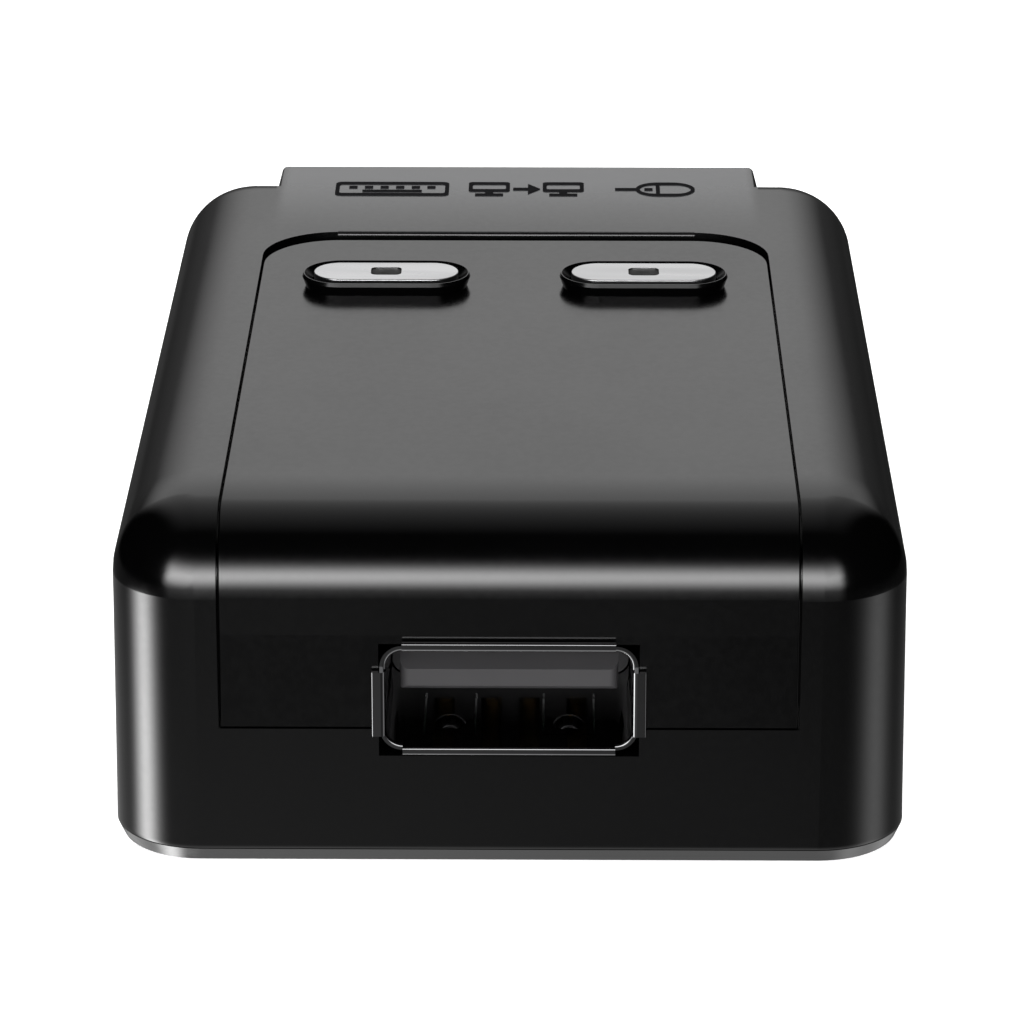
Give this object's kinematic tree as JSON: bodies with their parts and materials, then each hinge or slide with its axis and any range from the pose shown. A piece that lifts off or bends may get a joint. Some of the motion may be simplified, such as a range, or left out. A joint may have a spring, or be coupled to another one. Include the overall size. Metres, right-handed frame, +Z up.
{
  "type": "kvm switch",
  "caption": "Compact desktop KVM switch: black rounded case with an inlaid cover, oval select buttons, a front USB-A socket and rear USB-C sockets.",
  "frame": {"origin": "on the table under the middle of the whole object, level with the underside of the rubber feet", "axes": "+X to the right seen from the front socket, +Y from the front socket to the rear sockets, +Z up"},
  "size_m": [0.0408, 0.0612, 0.0195],
  "materials": {
    "case_black": "moulded, satin gloss",
    "cover_black": "moulded, gloss",
    "base_black": "moulded, fine texture",
    "bezel_black": "polished",
    "cap_silver": "silver painted, satin",
    "carrier_black": "smooth",
    "lens_smoke": "smoky, clear coat",
    "led_body": "moulded",
    "plunger_plastic": "smooth",
    "insulator_black": "moulded",
    "shell_steel": "plated sheet",
    "contact_gold": "plated",
    "tinned_metal": "tinned",
    "screw_steel": "dark plated",
    "board_laminate": "solder mask",
    "chip_black": "moulded",
    "capacitor_body": "ceramic",
    "inductor_body": "pressed powder",
    "foot_rubber": "soft matte",
    "label_ink": "printed ink"
  },
  "bodies": {
    "case": {"base_cover": "base_black", "board_link_header": "insulator_black", "board_link_pins": "contact_gold", "board_link_socket": "insulator_black", "button_bezel_left": "bezel_black", "button_bezel_right": "bezel_black", "button_board": "board_laminate", "button_board_screws": "screw_steel", "capacitors": "capacitor_body", "case_screws": "screw_steel", "chip_leads": "tinned_metal", "crystal": "tinned_metal", "housing": "case_black", "hub_chip": "chip_black", "indicator_led_left": "led_body", "indicator_led_right": "led_body", "key_switch_body_left": "insulator_black", "key_switch_body_right": "insulator_black", "key_switch_dome_left": "tinned_metal", "key_switch_dome_right": "tinned_metal", "key_switch_plate_left": "tinned_metal", "key_switch_plate_right": "tinned_metal", "key_switch_terminals": "tinned_metal", "label_marks": "label_ink", "main_board": "board_laminate", "main_board_screws": "screw_steel", "power_inductor": "inductor_body", "resistors": "chip_black", "rubber_feet": "foot_rubber", "switch_chip": "chip_black", "usb_a_contacts": "contact_gold", "usb_a_insulator": "insulator_black", "usb_a_shell": "shell_steel", "usb_c_contacts_computer_1": "contact_gold", "usb_c_contacts_computer_2": "contact_gold", "usb_c_contacts_monitor": "contact_gold", "usb_c_shell_computer_1": "shell_steel", "usb_c_shell_computer_2": "shell_steel", "usb_c_shell_monitor": "shell_steel", "usb_c_tongue_computer_1": "insulator_black", "usb_c_tongue_computer_2": "insulator_black", "usb_c_tongue_monitor": "insulator_black", "wrap_cover": "cover_black"},
    "left_button": {"button_cap_left": "cap_silver", "button_carrier_left": "carrier_black", "indicator_lens_left": "lens_smoke", "key_switch_plunger_left": "plunger_plastic"},
    "right_button": {"button_cap_right": "cap_silver", "button_carrier_right": "carrier_black", "indicator_lens_right": "lens_smoke", "key_switch_plunger_right": "plunger_plastic"}
  },
  "joints": [
    {"name": "left_button_press", "type": "slide", "parent": "case", "child": "left_button", "axis": [0, 0, -1], "range_m": [0, 0.00035], "stiffness_N_per_m": 1500},
    {"name": "right_button_press", "type": "slide", "parent": "case", "child": "right_button", "axis": [0, 0, -1], "range_m": [0, 0.00035], "stiffness_N_per_m": 1500}
  ]
}
